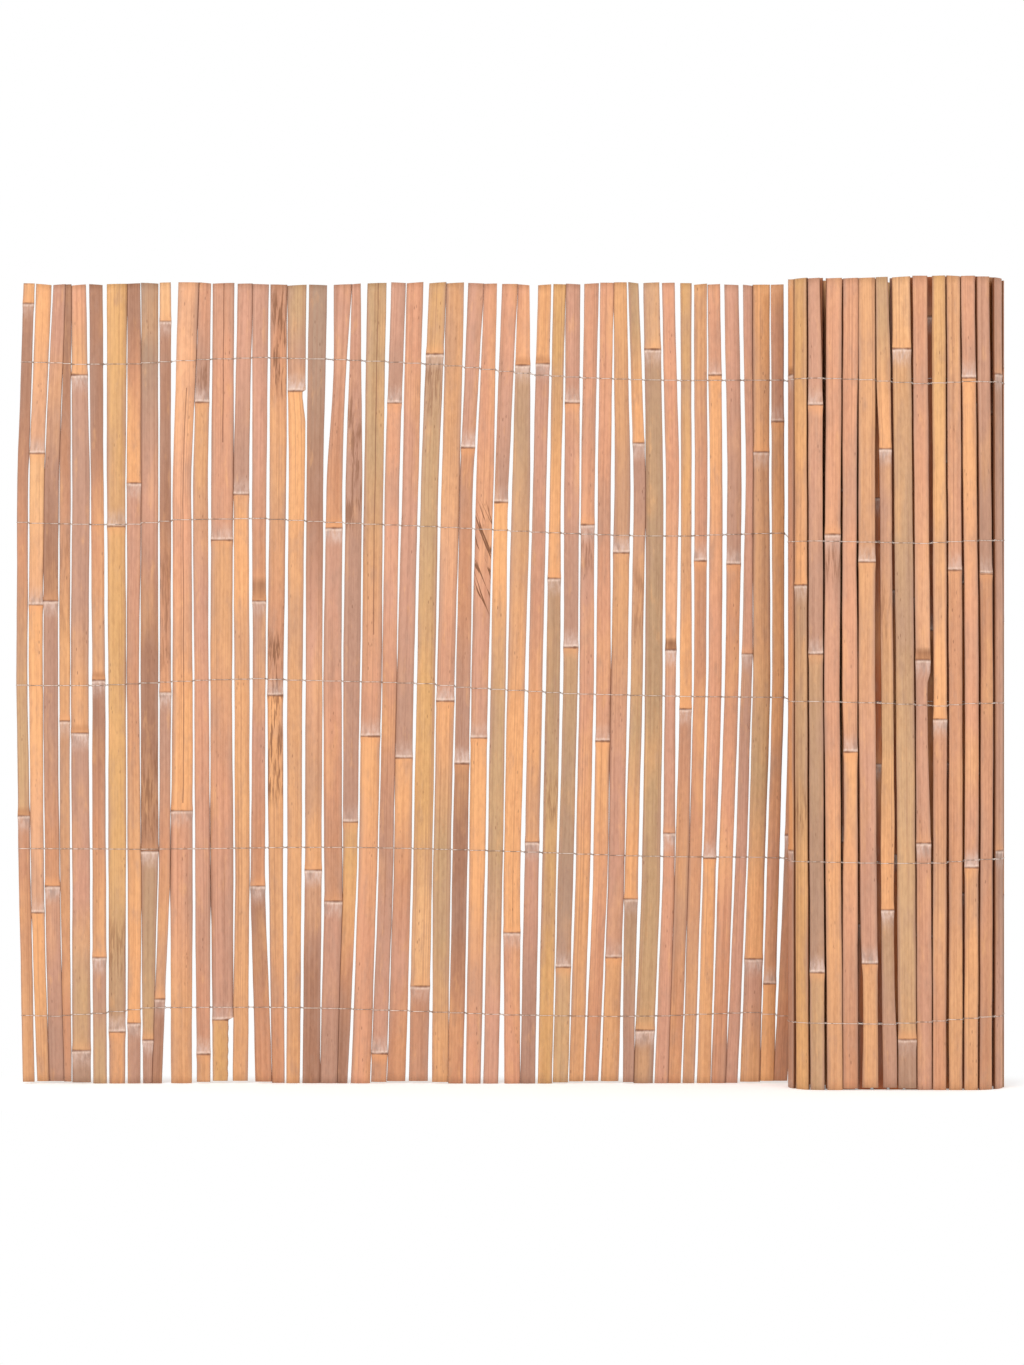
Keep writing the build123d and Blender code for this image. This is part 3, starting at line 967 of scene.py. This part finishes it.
@dataclass(frozen=True)
class CaneFinish:
    """Dry split cane: satin skin with grain, streaks, bloom, stains and painted shade along its edges, and
    fibrous split wood behind it.

    Colours are display colours, and reaches are millimetres from a joint.
    """

    shade: Colour = (190, 172, 160)
    glow: Colour = (226, 168, 112)
    # dusk is a mauve-grey tone of the cane's own patches, and also the colour of a painted shade towards the
    # skin's edges.
    dusk: Colour = (168, 131, 112)
    spot: Colour = (112, 70, 48)
    vein: Colour = (150, 102, 74)
    # edge is the colour of the painted shade along the slats' edges and in the gaps between them.
    edge: Colour = (104, 46, 12)
    flush: Colour = (216, 150, 100)
    bloom: Colour = (198, 171, 158)
    ring: Colour = (226, 200, 182)
    smudge: Colour = (132, 106, 94)
    scar: Colour = (118, 74, 50)
    stain: Colour = (120, 76, 48)
    wood: Colour = (224, 190, 144)
    pith: Colour = (194, 152, 108)

    hairs: Noise = Noise((2600, 2600, 22))
    grains: Noise = Noise((820, 820, 7), 3.0, 0.55)
    streaks: Noise = Noise((260, 260, 3.2))
    veins: Noise = Noise((430, 430, 1.6), 1.0)
    mottles: Noise = Noise((300, 300, 95), 3.0, 0.65)
    clouds: Noise = Noise((100, 100, 26), 3.0, 0.6)
    patches: Noise = Noise((26, 26, 6.5))
    thinning: Noise = Noise((90, 90, 8), 1.0)
    stains: Noise = Noise((330, 330, 26), 3.0, 0.6)
    worms: Noise = Noise((170, 170, 12))
    wanders: Noise = Noise((0, 1, 14))
    speck_cells: tuple[float, float, float] = (260, 260, 75)

    flush_reach: float = 17.0
    bloom_reach: float = 27.0
    smudge_reach: float = 24.0
    ring_reach: float = 5.0
    line_reach: float = 2.1
    own_tone: float = 0.4
    worm_slant: float = 0.4
    crack_wander: float = 0.16

    def material(self) -> bpy.types.Material:
        """Builds the finish on the slats' named values."""
        bench = Bench.material("cane_skin")
        fibre = bench.value("fibre")
        bloom_side, flush_side, painted_rim_shade = bench.parts(bench.value("joint"))
        kind, bloom_at, flush_at = bench.parts(bench.value("flaw"))
        across, rind, stain_at = bench.parts(bench.value("mark"))
        tone = bench.value("tone", "Color")

        hair, grain, streak, mottle, cloud, patch, vein = (
            bench.noise(fibre, noise)
            for noise in (
                self.hairs, self.grains, self.streaks, self.mottles, self.clouds, self.patches, self.veins,
            )
        )

        skin = bench.mix(bench.ramp(patch, 0.50, 0.76, 0.0, 0.45), tone, self.dusk)
        skin = bench.mix(bench.ramp(patch, 0.48, 0.24, 0.0, 0.45), skin, self.glow)
        skin = bench.mix(bench.ramp(cloud, 0.50, 0.78, 0.0, 0.40), skin, self.dusk)
        skin = bench.mix(bench.ramp(cloud, 0.44, 0.22, 0.0, 0.35), skin, self.glow)
        weave = bench.blend((grain, 0.25), (hair, 0.18), (mottle, 0.27), (streak, 0.30))
        skin = bench.mix(bench.ramp(weave, 0.40, 0.64, 0.0, 0.50), skin, self.shade, "MULTIPLY")
        skin = bench.mix(bench.ramp(vein, 0.59, 0.70, 0.0, 0.36), skin, self.vein)
        # Painted shade: the skin turns darker mauve-grey towards both edges.
        painted_soft_shade = bench.ramp(bench.sum("ABSOLUTE", across), 0.5, 1.0, 0.0, 0.6)
        skin = bench.mix(bench.times(painted_soft_shade, bench.ramp(patch, 0.35, 0.65, 0.1, 1.0)), skin, self.dusk)
        # Painted shade along the skin's edges, broken up a little along the grain.
        skin = bench.mix(bench.times(painted_rim_shade, bench.ramp(streak, 0.3, 0.7, 0.6, 1.0)), skin, self.edge)
        skin = bench.mix(self.specks(bench, fibre), skin, self.spot)
        skin = bench.mix(self.flaws(bench, fibre, stain_at, kind), skin, self.stain)

        off_cloud, off_mottle = (bench.sum("SUBTRACT", noise, 0.5) for noise in (cloud, mottle))
        wander = bench.blend((off_cloud, 9.0), (off_mottle, 5.0))
        beside = bench.plus(bloom_side, wander)
        warmth = bench.times(bench.ramp(bench.plus(flush_side, wander), self.flush_reach, 0.0), flush_at)
        skin = bench.mix(warmth, skin, self.flush)
        dust = bench.times(bench.ramp(beside, self.bloom_reach, 3.0), bloom_at)
        dust = bench.times(dust, bench.ramp(mottle, 0.3, 0.7, 1.0, 0.35))
        skin = bench.mix(dust, skin, self.bloom)
        soot = bench.times(bench.ramp(beside, self.smudge_reach, 6.0), bloom_at)
        skin = bench.mix(bench.times(soot, bench.ramp(cloud, 0.50, 0.66, 0.0, 0.6)), skin, self.smudge)
        lip = bench.ramp(bench.plus(bloom_side, bench.times(wander, 0.2)), self.ring_reach, 2.0)
        skin = bench.mix(bench.times(lip, bench.ramp(mottle, 0.3, 0.7, 0.6, 0.2)), skin, self.ring)
        near = bench.plus(bench.sum("MINIMUM", bloom_side, flush_side), bench.times(wander, 0.2))
        line = bench.times(bench.ramp(near, self.line_reach, 0.3), bench.ramp(cloud, 0.25, 0.7, 0.95, 0.45))
        skin = bench.mix(line, skin, self.scar)
        skin = bench.mix(self.crack(bench, across, fibre), skin, self.scar)

        bare = bench.mix(bench.ramp(grain, 0.35, 0.72), self.wood, self.pith)
        bare = bench.mix(self.own_tone, bare, tone)
        bare = bench.mix(bench.ramp(streak, 0.45, 0.75, 0.0, 0.6), bare, self.pith)
        bare = bench.mix(bench.ramp(patch, 0.50, 0.76, 0.0, 0.5), bare, self.dusk)
        bare = bench.mix(bench.ramp(vein, 0.59, 0.70, 0.0, 0.4), bare, self.vein)
        bare = bench.mix(bench.times(line, 0.7), bare, self.scar)
        # Painted shade on the split sides, full in the gaps between slats.
        bare = bench.mix(painted_rim_shade, bare, self.edge)

        rough = bench.ramp(cloud, 0.3, 0.8, 0.46, 0.62)
        rough = bench.sum("MAXIMUM", rough, bench.times(dust, 0.8))
        rough = bench.sum("MAXIMUM", rough, bench.ramp(rind, 0.9, 0.2, 0.0, 0.85))
        relief = bench.sum("SUBTRACT", bench.plus(bench.times(hair, 0.5), grain), bench.times(line, 1.2))
        return bench.shader({
            "Base Color": bench.mix(rind, bare, skin),
            "Roughness": rough,
            "Normal": bench.bump(relief, 0.35, 0.25 * MM),
            "Specular IOR Level": 0.32,
        })

    def specks(self, bench: Bench, fibre: Socket) -> Socket:
        """Small dark specks, thinned out by a slow noise."""
        where = bench.ramp(bench.noise(fibre, self.thinning), 0.55, 0.68)
        return bench.times(bench.ramp(bench.cells(fibre, self.speck_cells), 0.24, 0.10, 0.0, 0.55), where)

    def flaws(self, bench: Bench, fibre: Socket, stain_at: Socket, kind: Socket) -> Socket:
        """Streaks along the grain, slanting tracks or a solid block, by the slat's kind of flaw."""
        wide = bench.noise(fibre, self.stains)
        turn = {"Vector": fibre, "Rotation": (0.0, self.worm_slant, 0.0)}
        worm = bench.noise(bench.node("ShaderNodeMapping", turn).outputs[0], self.worms)
        shapes = {
            Flaw.STREAK: bench.ramp(wide, 0.46, 0.60, 0.0, 0.85),
            Flaw.TRACK: bench.ramp(bench.sum("ABSOLUTE", bench.sum("SUBTRACT", worm, 0.56)), 0.055, 0.02),
            Flaw.SCAR: bench.ramp(wide, 0.25, 0.6, 0.55, 0.95),
        }
        shown = []
        for flaw, shape in shapes.items():
            from_below = bench.ramp(kind, flaw - 0.4, flaw - 0.1)
            from_above = bench.ramp(kind, flaw + 0.4, flaw + 0.1)
            shown.append(bench.times(shape, from_below, from_above))
        return bench.times(bench.plus(*shown), stain_at)

    def crack(self, bench: Bench, across: Socket, fibre: Socket) -> Socket:
        """A thin dark line along the slat where its crack runs."""
        place, low, high = bench.parts(bench.value("crack"))
        height = bench.parts(fibre)[2]
        noise = bench.noise(fibre, self.wanders)
        wander = bench.sum("MULTIPLY_ADD", noise, self.crack_wander, -self.crack_wander / 2)
        off = bench.sum("ABSOLUTE", bench.sum("SUBTRACT", bench.plus(across, wander), place))
        inside = bench.times(bench.sum("GREATER_THAN", height, low), bench.sum("LESS_THAN", height, high))
        return bench.times(bench.ramp(off, 0.075, 0.03, 0.0, 0.7), inside)


@dataclass(frozen=True)
class CutFinish:
    """Sawn end of a slat: pale ground with dark fibre dots."""

    ground: Colour = (204, 162, 112)
    dots: Colour = (122, 82, 54)
    dot_cells: tuple[float, float, float] = (1500, 1500, 0)
    roughness: float = 0.85

    def material(self) -> bpy.types.Material:
        """Builds the finish on the slats' own grain."""
        bench = Bench.material("cane_cut_end")
        cells = bench.cells(bench.value("fibre"), self.dot_cells)
        colour = bench.mix(bench.ramp(cells, 0.5, 0.2, 0.0, 0.8), self.ground, self.dots)
        normal = bench.bump(cells, 0.4, 0.3 * MM)
        return bench.shader({"Base Color": colour, "Roughness": self.roughness, "Normal": normal})


@dataclass(frozen=True)
class WireFinish:
    """Thin galvanised wire, dulled and browned in places."""

    bright: Colour = (222, 206, 194)
    dull: Colour = (146, 120, 104)
    clouds: Noise = Noise((160, 160, 160), 3.0, 0.6)
    scratches: Noise = Noise((1400, 1400, 1400))
    metallic: float = 0.35

    def material(self) -> bpy.types.Material:
        """Builds the finish on Object coordinates."""
        bench = Bench.material("dull_wire")
        place = bench.node("ShaderNodeTexCoord").outputs["Object"]
        cloud = bench.noise(place, self.clouds)
        return bench.shader({
            "Base Color": bench.mix(bench.ramp(cloud, 0.42, 0.62), self.bright, self.dull),
            "Metallic": self.metallic,
            "Roughness": bench.ramp(cloud, 0.35, 0.7, 0.32, 0.6),
            "Normal": bench.bump(bench.noise(place, self.scratches), 0.3, 0.05 * MM),
        })


def stand_for(piece: bpy.types.Object, node: str) -> bpy.types.Object:
    """Hangs a piece on the body and lets it stand for its node, whose part it hides."""
    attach(piece, "root")
    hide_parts(node)
    return piece


@dataclass
class Mat:
    """The whole mat as a chain of slats, from the loose end to the middle of the roll."""

    nodes: dict[str, bpy.types.Object]
    slots: dict[str, str]
    skin: bpy.types.Material
    cut: bpy.types.Material
    open_slats: list[Slat] = field(default_factory=list)
    turns: dict[str, list[Slat]] = field(default_factory=dict)
    roll_warmth: float = 0.14
    # Painted shade on the roll's inner turns, which show only through the gaps, deep in the roll.
    inner_painted_shade: Colour = (0.72, 0.40, 0.20)
    hair: float = 0.1 * MM
    shut_at: float = 0.75 * MM
    open_from: float = 1.5 * MM
    # Strength of the painted shade along the edges at shut and at open gaps.
    shut_painted_shade: float = 1.3
    open_painted_shade: float = 0.32
    move_easing: int = 3
    # Easing of the painted shade along the edges.
    painted_shade_easing: int = 5

    def read(self) -> None:
        """Reads every slat from its solid, first those of the open stretch."""
        names = sorted(name for name in self.nodes if name.startswith("slat_"))
        for number, name in enumerate(names):
            points = node_solids(self.nodes[name])[0]
            looks = OPEN_LOOKS[number % len(OPEN_LOOKS)]
            self.open_slats.append(Slat.read(points, number, np.array([0.0, 1.0]), -1.0, looks))
        number = len(names)
        rolled = sorted(name for name in self.nodes if name.startswith("roll_turn_"))
        boxes = np.array([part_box(name) for name in rolled])[:, :, :2]
        low, high = boxes[:, 0].min(axis=0), boxes[:, 1].max(axis=0)
        bend = (high[1] - low[1]) / 2
        for name in rolled:
            self.turns[name] = []
            for points in node_solids(self.nodes[name]):
                place = points[:, :2].mean(axis=0)
                core = np.array([np.clip(place[0], low[0] + bend, high[0] - bend), low[1] + bend])
                plain = HIDDEN_LOOKS[number % len(HIDDEN_LOOKS)]
                self.turns[name].append(Slat.read(points, number, place - core, 1.0, plain))
                number += 1

    def match(self) -> None:
        """Gives the rolled slats their looks: those with joints repeat open slats, the others are plain."""
        outer, *inner = self.turns.values()
        for slat in sum(inner, []):
            # The inner turns get a painted shade.
            slat.painted_shade_tint = self.inner_painted_shade
        wound = sum(inner, outer)
        seen = [slat for slat in wound if slat.joints]
        for slat in wound:
            if not slat.joints:
                slat.grow_joints()
        for place, slat in enumerate(reversed(seen)):
            twin = self.open_slats[(REPEAT_FROM - 1 + place) % len(self.open_slats)]
            slat.look = twin.look
            slat.drop = twin.joints[-1].height - slat.joints[-1].height
            slat.warmth = self.roll_warmth
            for wedge in ROLL_WEDGES.get(place, ()):
                slat.trim(wedge)

    def settle(self) -> None:
        """Closes the narrowest gaps between open slats to a hair's width, and keeps every other gap open."""
        heights = np.linspace(0, max(slat.top for slat in self.open_slats), Slat.grid_size)
        limits = [self.shut_at, self.open_from]
        for slat, after in zip(self.open_slats, self.open_slats[1:]):
            right = slat.middle + slat.edges(heights)[1][:, None] * slat.run
            left = after.middle + after.edges(heights)[0][:, None] * after.run
            gap = (left - right) @ slat.run
            narrow = np.interp(gap, limits, [self.hair, self.open_from])
            move = smooth((gap - np.where(gap > self.open_from, gap, narrow)) / 2, self.move_easing)
            slat.right_line += np.interp(slat.grid, heights, move)
            after.left_line -= np.interp(after.grid, heights, move)
            # Painted shade along both edges of each gap: strong where the gap is shut, light where it is
            # open.
            shade = smooth(np.interp(gap, limits, [self.shut_painted_shade, self.open_painted_shade]), self.painted_shade_easing)
            slat.right_painted_shade = np.interp(slat.grid, heights, shade)
            after.left_painted_shade = np.interp(after.grid, heights, shade)
        # The loose end's outer edge gets the light painted shade of an open gap.
        self.open_slats[0].left_painted_shade[:] = self.open_painted_shade

    @property
    def chain(self) -> list[Slat]:
        """All slats in the order the mat passes them."""
        return sum(self.turns.values(), self.open_slats)

    def build(self) -> list[bpy.types.Object]:
        """Makes one piece for each open slat and each turn of the roll.

        Returns:
            The pieces.
        """
        pieces = []
        for slat in self.open_slats:
            node = f"slat_{slat.number + 1:02d}"
            pieces.append(self.dress(slat.surface(), node))
        for node, slats in self.turns.items():
            surface = Surface.joined([slat.surface() for slat in slats])
            pieces.append(self.dress(surface, node))
        return pieces

    def dress(self, surface: Surface, node: str) -> bpy.types.Object:
        """Makes the piece that stands for a node."""
        piece = surface.piece(f"cane_{node}", [self.skin, self.cut])
        return stand_for(piece, node)


@dataclass
class WireRow:
    """One row of wire: two strands that clasp every slat and are twisted together in the gaps."""

    node: str
    chain: list[Slat]
    solid: np.ndarray
    radius: float = 0.42 * MM
    clear: float = 0.06 * MM
    hairpin: float = 0.7 * MM
    hairpin_steps: int = 9
    sides: int = 6
    clasp_share: tuple[float, ...] = (-0.98, -0.45, 0.0, 0.45, 0.98)
    twist_steps: int = 11
    twist_close: float = 1.05
    twist_power: int = 5
    least_gap: float = 1.0 * MM
    long_gap: float = 4.5 * MM
    least_step: float = 0.01 * MM

    def heights(self) -> np.ndarray:
        """Height of the row at every slat, read from the solid's corners nearest to each slat."""
        middles = np.stack([slat.middle for slat in self.chain])
        apart = ((self.solid[:, None, :2] - middles[None]) ** 2).sum(axis=2)
        nearest = apart.argmin(axis=1)
        near = np.unique(nearest)
        level = np.array([self.solid[nearest == k, 2].mean() for k in near])
        return np.interp(np.arange(len(self.chain)), near, level)

    def clasp(self, slat: Slat, z: float, side: float) -> tuple[np.ndarray, np.ndarray]:
        """Where a strand lies on one face of a slat.

        Args:
            slat: The slat.
            z: Height of the row there.
            side: +1 for the mat's outer face and -1 for its inner face.

        Returns:
            Distances along u and along v of the strand's points.
        """
        height = np.array([z])
        left, right = slat.edges(height)
        half, mid = (right - left) / 2, (right + left) / 2
        share = np.array(self.clasp_share)
        off = self.radius + self.clear
        if side == slat.skin:
            past, _ = slat.past_joint(height)
            depth = slat.skin_height(share, half, past) + off
        else:
            depth = np.full(len(share), slat.half_thick + off)
        return mid + half * share, depth * side

    def strand(self, side: float) -> np.ndarray:
        """Path of one strand from the loose end into the roll.

        On a slat the strand lies against its face. In a gap it runs round the other strand: its distance
        from the middle plane shrinks to the twist's radius by a power law while it makes whole turns.

        Args:
            side: +1 for the strand on the mat's outer face and -1 for the other.

        Returns:
            Points of the path.
        """
        levels = self.heights()
        path = []
        spread = np.linspace(0, 1, self.twist_steps + 2)[1:-1]
        for k, slat in enumerate(self.chain):
            u, v = self.clasp(slat, levels[k], side)
            place = slat.middle + u[:, None] * slat.run + v[:, None] * slat.out
            path.append(np.column_stack([place, np.full(len(u), levels[k])]))
            if k + 1 == len(self.chain):
                break
            after = self.chain[k + 1]
            u_next, v_next = self.clasp(after, levels[k + 1], side)
            start = slat.middle + u[-1] * slat.run
            end = after.middle + u_next[0] * after.run
            gap = (end - start) @ slat.run
            if gap < self.least_gap:
                continue
            turns = 2.0 if gap > self.long_gap else 1.0
            out = slat.out + spread[:, None] * (after.out - slat.out)
            far = np.abs(v[-1] + spread * (v_next[0] - v[-1]))
            close = np.abs(2 * spread - 1) ** self.twist_power
            reach = self.radius * self.twist_close + (far - self.radius) * close
            angle = 2 * math.pi * turns * spread
            middle = start + spread[:, None] * (end - start)
            plan = middle + out * (side * reach * np.cos(angle))[:, None]
            level = levels[k] + spread * (levels[k + 1] - levels[k]) + side * reach * np.sin(angle)
            path.append(np.column_stack([plan, level]))
        return np.concatenate(path)

    def path(self) -> np.ndarray:
        """The row's whole path: out of the roll, round the end slat's edge, and back into the roll."""
        outer, inner = self.strand(1.0), self.strand(-1.0)
        turn = np.linspace(0, math.pi, self.hairpin_steps)[1:-1, None]
        middle = (outer[0] + inner[0]) / 2
        reach = (outer[0] - inner[0]) / 2
        run = np.append(self.chain[0].run, 0)
        bend = middle + reach * np.cos(turn) - run * self.hairpin * np.sin(turn)
        return np.concatenate([outer[::-1], bend, inner])

    def surface(self) -> Surface:
        """Round tube along the path: rings square to the run, closed at both ends.

        Returns:
            The tube's surface.
        """
        path = self.path()
        steps = np.linalg.norm(np.diff(path, axis=0), axis=1)
        path = path[np.concatenate([[True], steps > self.least_step])]
        run = np.gradient(path, axis=0)
        run /= np.linalg.norm(run, axis=1, keepdims=True)
        across = np.cross(run, [0.0, 0.0, 1.0])
        across /= np.linalg.norm(across, axis=1, keepdims=True)
        rise = np.cross(across, run)
        angle = np.linspace(0, 2 * math.pi, self.sides, endpoint=False)[None, :, None]
        ring = across[:, None] * np.cos(angle) + rise[:, None] * np.sin(angle)
        return Surface.tube(path[:, None] + self.radius * ring, turned=True)

    def build(self, material: bpy.types.Material, slot: str) -> bpy.types.Object:
        """Makes the row's piece and lets it stand for its node."""
        piece = self.surface().piece(f"twisted_{self.node}", [material])
        return stand_for(piece, self.node)


@dataclass(frozen=True)
class Lamp:
    """A square soft lamp: its place and size in metres and its power in watts."""

    name: str
    place: tuple[float, float, float]
    size: float
    power: float


@dataclass
class Studio:
    """Pale floor, soft light and the camera, in metres."""

    middle: float = 4.3 * MM
    eye_height: float = 0.5002
    fence_plane: float = 0.0425
    distance: float = 5.3
    lens: float = 111.96
    sensor: float = 36.0
    clip_end: float = 60.0
    ambient: float = 0.62
    floor_half: float = 9.0
    floor_drop: float = 0.4 * MM
    floor_lift: float = 0.30
    floor_grey: float = 0.92
    fade_aside: tuple[float, float] = (0.61, 0.68)
    fade_front: tuple[float, float] = (-0.30, -0.06)
    fade_behind: tuple[float, float] = (0.16, 0.05)
    lamps: tuple[Lamp, ...] = (
        Lamp("key", (-2.6, -4.2, 3.0), 3.4, 150),
        Lamp("fill", (3.0, -3.8, 1.6), 3.0, 60),
    )

    def build(self) -> None:
        """Sets up camera, floor, world and lamps."""
        self.view()
        self.floor()
        self.world()
        for lamp in self.lamps:
            self.hang(lamp)

    def view(self) -> None:
        """Places the camera level with the fence's mid-height, square to it."""
        bpy.context.scene.view_settings.view_transform = "Standard"
        data = bpy.data.cameras.new("camera")
        data.lens = self.lens
        data.sensor_width = self.sensor
        data.clip_end = self.clip_end
        camera = bpy.data.objects.new("camera", data)
        camera.location = (self.middle, self.fence_plane - self.distance, self.eye_height)
        camera.rotation_euler = (math.pi / 2, 0, 0)
        bpy.context.scene.collection.objects.link(camera)
        bpy.context.scene.camera = camera

    def floor(self) -> None:
        """Lays a pale floor that takes the shadow near the fence and fades to plain white around it."""
        reach = self.floor_half
        corners = np.array([[-reach, -reach], [reach, -reach], [reach, reach], [-reach, reach]])
        points = np.column_stack([corners, np.full(4, -self.floor_drop)])
        bench = Bench.material("pale_floor")
        x, y, _ = bench.parts(bench.node("ShaderNodeTexCoord").outputs["Object"])
        aside = bench.ramp(bench.sum("ABSOLUTE", x), *self.fade_aside, 1.0, 0.0)
        near = bench.times(aside, bench.ramp(y, *self.fade_front), bench.ramp(y, *self.fade_behind))
        plain = bench.times(bench.background_rays(), bench.sum("SUBTRACT", 1.0, near))
        grey = self.floor_grey
        lit = bench.node("ShaderNodeBsdfDiffuse", {"Color": (grey, grey, grey, 1.0)}).outputs[0]
        white = bench.node("ShaderNodeEmission", {"Color": WHITE, "Strength": 1.0}).outputs[0]
        lift = bench.node("ShaderNodeEmission", {"Color": WHITE, "Strength": self.floor_lift}).outputs[0]
        paled = bench.node("ShaderNodeAddShader", {0: lit, 1: lift}).outputs[0]
        both = bench.node("ShaderNodeMixShader", {0: plain, 1: paled, 2: white}).outputs[0]
        bench.node("ShaderNodeOutputMaterial", {"Surface": both})
        floor = Surface(points, [[0, 1, 2, 3]]).piece("floor", [bench.owner])

    def world(self) -> None:
        """White to the camera, and an even soft light to everything else."""
        world = bpy.data.worlds.new("studio")
        bpy.context.scene.world = world
        bench = Bench(world)
        strength = bench.ramp(bench.background_rays(), 0.0, 1.0, self.ambient, 1.0)
        ground = bench.node("ShaderNodeBackground", {"Color": WHITE, "Strength": strength})
        bench.node("ShaderNodeOutputWorld", {"Surface": ground.outputs[0]})

    def hang(self, lamp: Lamp) -> None:
        """Hangs a lamp that points at the fence's middle."""
        data = bpy.data.lights.new(lamp.name, "AREA")
        data.size = lamp.size
        data.energy = lamp.power
        hung = bpy.data.objects.new(lamp.name, data)
        hung.location = lamp.place
        aim = np.array([0.0, 0.0, self.eye_height]) - np.array(lamp.place)
        flat = math.hypot(aim[0], aim[1])
        hung.rotation_euler = (math.atan2(flat, -aim[2]), 0.0, math.atan2(-aim[0], aim[1]))
        bpy.context.scene.collection.objects.link(hung)


def main() -> None:
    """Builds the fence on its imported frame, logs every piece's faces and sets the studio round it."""
    logging.basicConfig(level=logging.INFO, format="%(name)s: %(message)s")
    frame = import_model()
    nodes = frame["nodes"]
    slots = {part["node"]: part["material_slot"] for part in frame["record"]["subparts"]}

    mat = Mat(nodes, slots, CaneFinish().material(), CutFinish().material())
    mat.read()
    mat.match()
    mat.settle()
    pieces = mat.build()
    wire = WireFinish().material()
    for name in sorted(name for name in nodes if name.startswith("wire_row_")):
        row = WireRow(name, mat.chain, node_solids(nodes[name])[0])
        pieces.append(row.build(wire, slots[name]))
    for piece in pieces:
        LOG.info("%s: %d faces", piece.name, len(piece.data.polygons))
    Studio().build()


if __name__ == "__main__":
    main()
